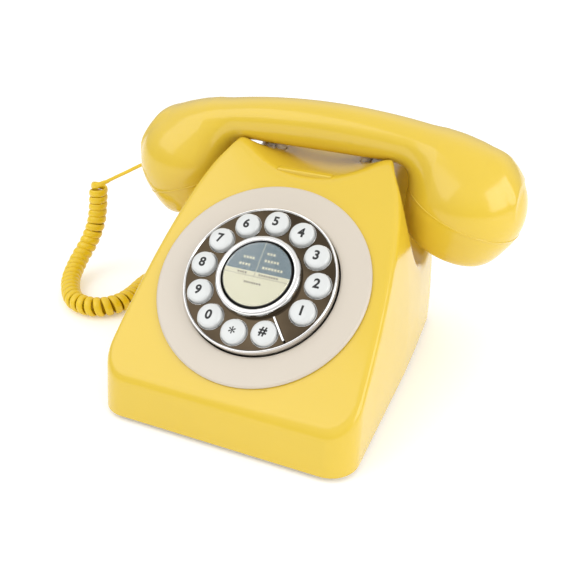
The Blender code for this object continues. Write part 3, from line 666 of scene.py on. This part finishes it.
def glyph_mesh(name, text, height, centre):
    """One character printed on a key's dome, upright on the dial."""
    curve = bpy.data.curves.new(name, "FONT")
    curve.body = text
    curve.size = 1.0
    curve.offset = 0.012 if text == "*" else 0.035
    curve.resolution_u = 8
    holder = bpy.data.objects.new(name, curve)
    SCENE.collection.objects.link(holder)
    graph = bpy.context.evaluated_depsgraph_get()
    flat = bpy.data.meshes.new_from_object(holder.evaluated_get(graph))
    bpy.data.objects.remove(holder)
    bm = bmesh.new()
    bm.from_mesh(flat)
    low = np.array([v.co for v in bm.verts]).min(axis=0)
    high = np.array([v.co for v in bm.verts]).max(axis=0)
    scale = height / (high[1] - low[1])
    middle = [(low[axis] + high[axis]) / 2 for axis in (0, 1)]
    for vert in bm.verts:
        vert.co = ((vert.co.x - middle[0]) * scale, (vert.co.y - middle[1]) * scale, 0)
    for axis in (0, 1):
        for step in range(-7, 8):
            place, normal = [0, 0, 0], [0, 0, 0]
            place[axis], normal[axis] = step * GLYPH_GRID, 1
            split(bm, place, normal)
    for vert in bm.verts:
        vert.co.z = key_height(math.hypot(vert.co.x, vert.co.y)) + INK
    bmesh.ops.translate(bm, vec=(*centre, 0), verts=bm.verts)
    return mesh_of(name, bm, DIAL)


def make_keys(looks):
    for index, (name, text) in enumerate(KEYS.items()):
        x, y = key_place(index)
        body = f"key_{name}_body"
        place = DIAL @ Matrix.Translation((x * MM, y * MM, 0))
        skirt = [(KEY_RADIUS, 2.5), (KEY_RADIUS + 0.7, 2.3), (KEY_RADIUS + 0.7, 0.6),
                 (KEY_STEM, 0.6), (KEY_STEM, -2.5), (0, -2.5)]
        mesh = mesh_of(f"key_{name}_fine", turned(key_profile() + skirt, 64), place)
        link(f"key_{name}_fine", mesh, looks["key"], body, ["key_" + name])
        height = GLYPH_HEIGHT.get(text, DIGIT_HEIGHT)
        digit = glyph_mesh(f"key_{name}_print", text, height, (x, y))
        link(f"key_{name}_print", digit, looks["print"], body)


def make_dial(looks):
    bore = PLATE_RADIUS + 0.5
    ring = [(bore, -3.4), (HOUSING_RADIUS, -3.4), (HOUSING_RADIUS, 0.3), (RING_RADIUS, 0.3),
            (RING_RADIUS, 1.3), (RING_RADIUS - 1.0, 2.0), (bore + 1.2, 2.2), (bore, 1.8)]
    mesh = mesh_of("ring_fine", turned(rounded(ring, 0.9), 160), DIAL)
    link("ring_fine", mesh, looks["cream"], "base", ["dial_ring"])
    make_plate(looks)
    make_keys(looks)
    make_centre(looks)


def make_plate(looks):
    """The dark mirror plate with a hole for each key, and the bright rim round it."""
    inner, edge, under = CENTRE_RING + 0.1, PLATE_RADIUS - 1.5, PLATE_TOP - 1.4
    plate = [(inner, under), (edge, under), (edge, PLATE_TOP), (inner, PLATE_TOP)]
    mesh = mesh_of("plate_fine", turned(plate, 160), DIAL)
    piece = link("plate_fine", mesh, looks["plate"], "base", ["dial_plate"])
    holes, collars = bmesh.new(), bmesh.new()
    for index in range(len(KEYS)):
        centre = key_place(index)
        prism(circle(KEY_RADIUS + 0.75, 56, centre), 0, 10, holes)
        lip = [(KEY_RADIUS + 0.3, under), (KEY_RADIUS + 0.72, under), (KEY_RADIUS + 0.72, PLATE_TOP + 0.02),
               (KEY_RADIUS + 0.62, PLATE_TOP + 0.22), (KEY_RADIUS + 0.3, PLATE_TOP + 0.05)]
        collar = turned(rounded(lip, 0.08, 2), 56)
        bmesh.ops.translate(collar, vec=(*centre, 0), verts=collar.verts)
        spare = bpy.data.meshes.new("collar")
        collar.to_mesh(spare)
        collar.free()
        collars.from_mesh(spare)
        bpy.data.meshes.remove(spare)
    cut(piece, mesh_of("key_holes", holes, DIAL), "key_holes")
    link("key_collars", mesh_of("key_collars", collars, DIAL), looks["chrome"], "base")
    crest = PLATE_TOP + 0.9
    rim = rounded([(edge + 0.03, 0.5), (PLATE_RADIUS, 0.5), (PLATE_RADIUS, crest - 0.5),
                   (PLATE_RADIUS - 0.7, crest), (edge + 0.03, PLATE_TOP + 0.1)], 0.5)
    link("plate_rim", mesh_of("plate_rim", turned(rim, 160), DIAL), looks["chrome"], "base")


def make_centre(looks):
    """The bright ring, the button inside it with its printed card, and the clear lens on top."""
    outer, button, crest = CENTRE_RING, CENTRE_BUTTON, RING_CREST
    ring = [(button + 0.4, 1.4), (outer, 1.4), (outer, PLATE_TOP + 1.2)]
    ring += curve_through([(outer, PLATE_TOP + 1.3), (outer, crest - 0.4), (outer - 1.2, crest),
                           (outer - 2.4, crest)], 12)
    ring += curve_through([(outer - 2.5, crest), (button + 1.0, crest - 0.1), (button + 0.8, crest - 0.8),
                           (button + 0.8, crest - 2)], 8) + [(button + 0.4, crest - 2.6)]
    mesh = mesh_of("centre_ring_fine", turned(ring, 128), DIAL)
    link("centre_ring_fine", mesh, looks["chrome"], "base", ["centre_ring"])
    top = LABEL_HEIGHT - 0.2
    cup = [(0, -2.5), (4, -2.5), (4, -1), (button + 1.6, -1), (button + 1.6, 1.1), (button, 1.1),
           (button, top), (0, top)]
    mesh = mesh_of("centre_button_fine", turned(rounded(cup, 0.15, 2), 96), DIAL)
    link("centre_button_fine", mesh, looks["dark"], "centre", ["centre_button"])
    make_label(looks)
    edge, base = button - 0.3, LABEL_HEIGHT + 0.25
    lens = [(0, base), (edge, base), (edge, base + 0.4), (edge - 0.5, base + 0.9),
            (edge * 0.75, base + 1.15), (edge * 0.4, base + 1.3), (0, base + 1.35)]
    mesh = mesh_of("centre_lens_fine", turned(lens, 96), DIAL)
    link("centre_lens_fine", mesh, looks["lens"], "centre", ["centre_lens"])
    make_stop(looks)


def make_stop(looks):
    """The finger stop: a narrow bar close to the hash key, on a leg through the plate."""
    low, high = PLATE_TOP + 1.0, PLATE_TOP + 2.0
    stop = box((24.4, -0.6, low), (38.4, 0.6, high))
    box((34, -0.5, PLATE_TOP - 1), (36, 0.5, low + 0.2), stop)
    place = DIAL @ Matrix.Rotation(STOP_ANGLE, 4, "Z")
    mesh = mesh_of("finger_stop_fine", stop, place)
    piece = link("finger_stop_fine", mesh, looks["chrome"], "base", ["finger_stop"])
    soften(piece, 0.35, 3)


def soften(piece, width, segments):
    """Rounds a piece's sharp edges."""
    bevel = piece.modifiers.new("soft_edges", "BEVEL")
    bevel.width = width * MM
    bevel.segments = segments
    bevel.limit_method = "ANGLE"
    bevel.harden_normals = True


def make_label(looks):
    """A card, slate above and cream below, with rules and with rows of short bars in place of words."""
    radius, blue, rule = CENTRE_BUTTON - 0.4, 0.9, -1.7
    low, high = LABEL_HEIGHT - 0.02, LABEL_HEIGHT + 0.04
    card = prism(circle(radius, 96), LABEL_HEIGHT - 0.3, LABEL_HEIGHT)
    for y in (blue, rule):
        split(card, (0, y, 0), (0, 1, 0))
    for face in card.faces:
        face.material_index = 1 if face.calc_center_median().y > blue else 0
    mesh = mesh_of("label_fine", card, DIAL)
    piece = link("label_fine", mesh, looks["card"], "centre", ["centre_label"])
    mesh.materials.append(looks["slate"])
    pale, brown = bmesh.new(), bmesh.new()
    box((-1.1, blue, low), (-0.9, math.sqrt(radius**2 - 1.2), high), pale)
    bars = [(-10.2, 7.4, 7.0), (-11.2, 3.4, 7.4), (1.6, 11.2, 5.2), (1.6, 7.2, 8.6), (1.6, 3.2, 13.0)]
    for x, y, length in bars:
        for start, width in word(length, 1.1):
            box((x + start, y, low), (x + start + width, y + 1.3, high), pale)
    reach = math.sqrt(radius**2 - rule**2) - 0.3
    box((-reach, rule - 0.1, low), (reach, rule + 0.1, high), brown)
    box((-1.1, rule, low), (-0.9, blue, high), brown)
    for x, y, length in ((-10.5, -0.95, 6.6), (1.2, -0.95, 11.0), (-5.2, -5.8, 9.6)):
        for start, width in word(length, 0.9):
            box((x + start, y, low), (x + start + width, y + 1.0, high), brown)
    link("label_pale_print", mesh_of("label_pale_print", pale, DIAL), looks["card"], "centre")
    link("label_brown_print", mesh_of("label_brown_print", brown, DIAL), looks["rule"], "centre")


def word(length, width):
    """The starts and widths of short bars that stand for a word."""
    step = width * 1.5
    return [(i * step, width) for i in range(int(length / step))]


# Small pieces

def make_small(looks):
    """The cradle's strip and plungers, the cord's plug, and the contacts in the line socket."""
    strip = box((-16, -2.5, -1), (16, 2.5, 2.3))
    place = Matrix.Translation((0, (FRONT + 112) * MM, SADDLE_LOW * MM))
    mesh = mesh_of("recall_fine", strip, place)
    piece = link("recall_fine", mesh, looks["shell"], "base", ["recall_blank"])
    soften(piece, 0.9, 4)
    radius, top = PLUNGER_RADIUS, PLUNGER_TOP
    for side, x in (("left", -PLUNGER_X), ("right", PLUNGER_X)):
        profile = [(0, 84.6), (5, 84.6), (5, 86.6), (radius, 86.6), (radius, top - 1.3)]
        profile += curve_through([(radius, top - 1.2), (3.1, top - 0.3), (2, top), (0, top)], 8)
        place = Matrix.Translation((x * MM, HANDSET_Y * MM, 0))
        mesh = mesh_of(f"plunger_{side}_fine", turned(profile, 40), place)
        link(f"plunger_{side}_fine", mesh, looks["plunger"], "plunger_" + side,
             ["hook_plunger_" + side])
    make_plug(looks)
    make_contacts(looks)


def make_plug(looks):
    """A small clear modular plug: a stepped body, a latch and its gold contacts."""
    low, high = (Vector(corner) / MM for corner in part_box("cord_plug"))
    x, z = (low.x + high.x) / 2, (low.z + high.z) / 2
    body = box((x - 4.8, low.y, z - 3.3), (x + 4.8, high.y - 3.5, z + 2.4))
    box((x - 3.6, high.y - 3.7, z - 2.6), (x + 3.6, high.y, z + 2.0), body)
    box((x - 1.6, low.y + 1, z + 2.2), (x + 1.6, high.y - 1.5, z + 3.3), body)
    piece = link("plug_fine", mesh_of("plug_fine", body), looks["plug"], "base", ["cord_plug"])
    soften(piece, 0.35, 2)
    pins = bmesh.new()
    for i in range(PIN_COUNT):
        pin = x - PIN_FIRST + i * PIN_PITCH
        box((pin - 0.2, low.y + 0.6, z - 3.35), (pin + 0.2, low.y + 5, z - 2.9), pins)
    link("plug_contacts", mesh_of("plug_contacts", pins), looks["gold"], "base")


def make_contacts(looks):
    """The spring contacts in the empty line socket."""
    low, high = (Vector(corner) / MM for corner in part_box("line_socket"))
    x, z = (low.x + high.x) / 2, (low.z + high.z) / 2
    pins = bmesh.new()
    side = [(low.y + 2.2, z - 3.6), (high.y - 3, z - 3.6), (low.y + 4.5, z - 0.6), (low.y + 3.9, z - 0.6)]
    for i in range(PIN_COUNT):
        pin = x - PIN_FIRST + i * PIN_PITCH
        rings = [[pins.verts.new((pin + shift, y, h)) for y, h in side] for shift in (-0.22, 0.22)]
        for ring in rings:
            pins.faces.new(ring)
        for a in range(len(side)):
            b = (a + 1) % len(side)
            pins.faces.new((rings[0][a], rings[0][b], rings[1][b], rings[1][a]))
    link("socket_contacts", mesh_of("socket_contacts", pins), looks["gold"], "base")


def dress_nodes(looks):
    """Better materials for the CAD nodes that stay."""
    slots = {part["node"]: part["material_slot"] for part in frame["record"]["subparts"]}
    for name, node in NODES.items():
        if not node.hide_render:
            node.data.materials.clear()
            node.data.materials.append(looks[slots[name] if slots[name] in looks else "steel"])


# The cord

def walk(line):
    """The distance along a line at each of its points."""
    return np.concatenate([[0], np.cumsum(np.linalg.norm(np.diff(line, axis=0), axis=1))])


def along(points, spacing):
    """Evenly spaced points on a smooth curve through the given ones."""
    points = np.array(points, float)
    ends = np.concatenate([[2 * points[0] - points[1]], points, [2 * points[-1] - points[-2]]])
    fine = []
    for a, b, c, d in zip(ends, ends[1:], ends[2:], ends[3:]):
        t = np.arange(40)[:, None] / 40
        fine.append(0.5 * (2 * b + (c - a) * t + (2 * a - 5 * b + 4 * c - d) * t**2
                           + (3 * b - a - 3 * c + d) * t**3))
    fine = np.concatenate(fine + [points[-1:]])
    walked = walk(fine)
    wanted = np.linspace(0, walked[-1], int(walked[-1] / spacing) + 1)
    return np.stack([np.interp(wanted, walked, fine[:, k]) for k in range(3)], axis=1)


def frames_along(line):
    """Two directions across a line that don't twist along it, at each of its points."""
    ahead = np.gradient(line, axis=0)
    ahead /= np.linalg.norm(ahead, axis=1, keepdims=True)
    across = [np.cross(ahead[0], [0, 1, 0])]
    for direction in ahead[1:]:
        last = across[-1] - direction * np.dot(across[-1], direction)
        across.append(last / np.linalg.norm(last))
    across = np.array(across)
    return across, np.cross(ahead, across)


def wire_centre():
    """The wire's centre line, the way out from the coil's axis, and how far each point is coiled."""
    axis = along(COIL_ROUTE, COIL_PITCH / TURN_POINTS)
    right, up = frames_along(axis)
    to_lead = np.subtract(LEAD_TOP[-1], COIL_ROUTE[0])
    first = math.atan2(np.dot(to_lead, up[0]), np.dot(to_lead, right[0]))
    turn = first + 2 * np.pi * walk(axis) / COIL_PITCH
    radial = right * np.cos(turn)[:, None] + up * np.sin(turn)[:, None]
    coil = axis + radial * (COIL_RADIUS - WIRE_DEPTH / 2)
    down, away = along(LEAD_TOP, LEAD_SPACING)[:-1], along(LEAD_BASE[1:], LEAD_SPACING)
    line = np.concatenate([down, coil[2:-2], away])
    out = np.concatenate([np.repeat(radial[:1], len(down), 0), radial[2:-2],
                          np.repeat(radial[-1:], len(away), 0)])
    coiled = np.concatenate([np.zeros(len(down)), np.ones(len(coil) - 4), np.zeros(len(away))])
    for _ in range(6):
        for middle in (len(down), len(line) - len(away)):
            near = np.arange(middle - 7, middle + 7)
            for values in (line, out, coiled):
                values[near] = (values[near - 1] + values[near + 1]) / 2
    return line, out, coiled


def make_cord(looks):
    """One flat-sided wire from the handset to the socket, wound round the route where it is coiled."""
    line, out, coiled = wire_centre()
    wire = np.gradient(line, axis=0)
    wire /= np.linalg.norm(wire, axis=1, keepdims=True)
    out = out - wire * (out * wire).sum(axis=1, keepdims=True)
    out /= np.linalg.norm(out, axis=1, keepdims=True)
    width = np.cross(wire, out)
    half_width = LEAD_RADIUS + (WIRE_WIDTH / 2 - LEAD_RADIUS) * coiled
    sides = WIRE_SIDES
    turns = 2 * np.pi * np.arange(sides) / sides
    rings = (line[:, None] + out[:, None] * (WIRE_DEPTH / 2 * np.cos(turns))[None, :, None]
             + width[:, None] * (half_width[:, None] * np.sin(turns)[None, :])[..., None])
    count = len(line)
    base = np.arange(count - 1)[:, None] * sides + np.arange(sides)
    after = np.arange(count - 1)[:, None] * sides + (np.arange(sides) + 1) % sides
    quads = np.stack([base, base + sides, after + sides, after], axis=-1).reshape(-1, 4)
    ends = [list(range(sides)), list(range((count - 1) * sides, count * sides))[::-1]]
    faces = [list(quad) for quad in quads] + ends
    mesh = mesh_from("curly_cord", rings.reshape(-1, 3) * MM, faces, None)
    piece = link("curly_cord", mesh, looks["cord"], None)
    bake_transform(piece)
    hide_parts("cord_lead_handset", "cord_coil", "cord_lead_base")


# Camera, light and floor

CAMERA_PLACE = (0.14124, -0.34637, 0.25630)
CAMERA_ANGLES = (22.12, 29.32, 1.36)
CAMERA_LENS = 47.64
LIT = Vector((0, 0, 0.05))


def make_camera():
    """The viewpoint: to the right of the dial and above it, with a slight roll."""
    azimuth, elevation, roll = (math.radians(angle) for angle in CAMERA_ANGLES)
    data = bpy.data.cameras.new("camera")
    data.lens = CAMERA_LENS
    data.sensor_width = 36
    camera = bpy.data.objects.new("camera", data)
    camera.location = CAMERA_PLACE
    turn = Euler((math.pi / 2 - elevation, 0, azimuth)).to_matrix() @ Matrix.Rotation(roll, 3, "Z")
    camera.rotation_euler = turn.to_euler()
    SCENE.collection.objects.link(camera)
    SCENE.camera = camera


def add_light(name, size, power, place):
    """A soft square light that points at the telephone."""
    data = bpy.data.lights.new(name, "AREA")
    data.shape = "SQUARE"
    data.size = size
    data.energy = power
    light = bpy.data.objects.new(name, data)
    light.location = place
    light.rotation_euler = (LIT - Vector(place)).to_track_quat("-Z", "Y").to_euler()
    SCENE.collection.objects.link(light)


def make_stage(looks):
    """The floor, which glows a little so that it comes out white, the two lights and the world."""
    bm = bmesh.new()
    bmesh.ops.create_grid(bm, x_segments=8, y_segments=8, size=3000)
    floor = bpy.data.objects.new("floor", mesh_of("floor", bm))
    glow = looks["floor"].node_tree.nodes["Principled BSDF"]
    glow.inputs["Emission Color"].default_value = (1, 1, 1, 1)
    glow.inputs["Emission Strength"].default_value = 0.2
    floor.data.materials.append(looks["floor"])
    SCENE.collection.objects.link(floor)
    add_light("key_light", 1.0, 4, (-0.65, -0.6, 0.95))
    add_light("side_light", 0.8, 5, (1.1, -0.25, 0.6))
    SCENE.world = make_world()


def make_world():
    """White light from all round, weaker near the horizon."""
    world = bpy.data.worlds.new("studio")
    world.use_nodes = True
    tree = world.node_tree
    sky = tree.nodes["Background"]
    sky.inputs["Color"].default_value = (1, 1, 1, 1)
    kinds = ("ShaderNodeTexCoord", "ShaderNodeSeparateXYZ", "ShaderNodeMapRange")
    where, parts, rise = (tree.nodes.new(kind) for kind in kinds)
    for name, value in (("From Min", 0.0), ("From Max", 0.6), ("To Min", 0.4), ("To Max", 1.0)):
        rise.inputs[name].default_value = value
    tree.links.new(where.outputs["Generated"], parts.inputs["Vector"])
    tree.links.new(parts.outputs["Z"], rise.inputs["Value"])
    tree.links.new(rise.outputs["Result"], sky.inputs["Strength"])
    return world


def main():
    """Makes everything. The camera and the cord, with the plug on it, come before the case."""
    looks = make_looks()
    make_camera()
    make_stage(looks)
    make_small(looks)
    make_cord(looks)
    make_case(looks)
    make_dial(looks)
    make_handset(looks)
    dress_nodes(looks)


main()
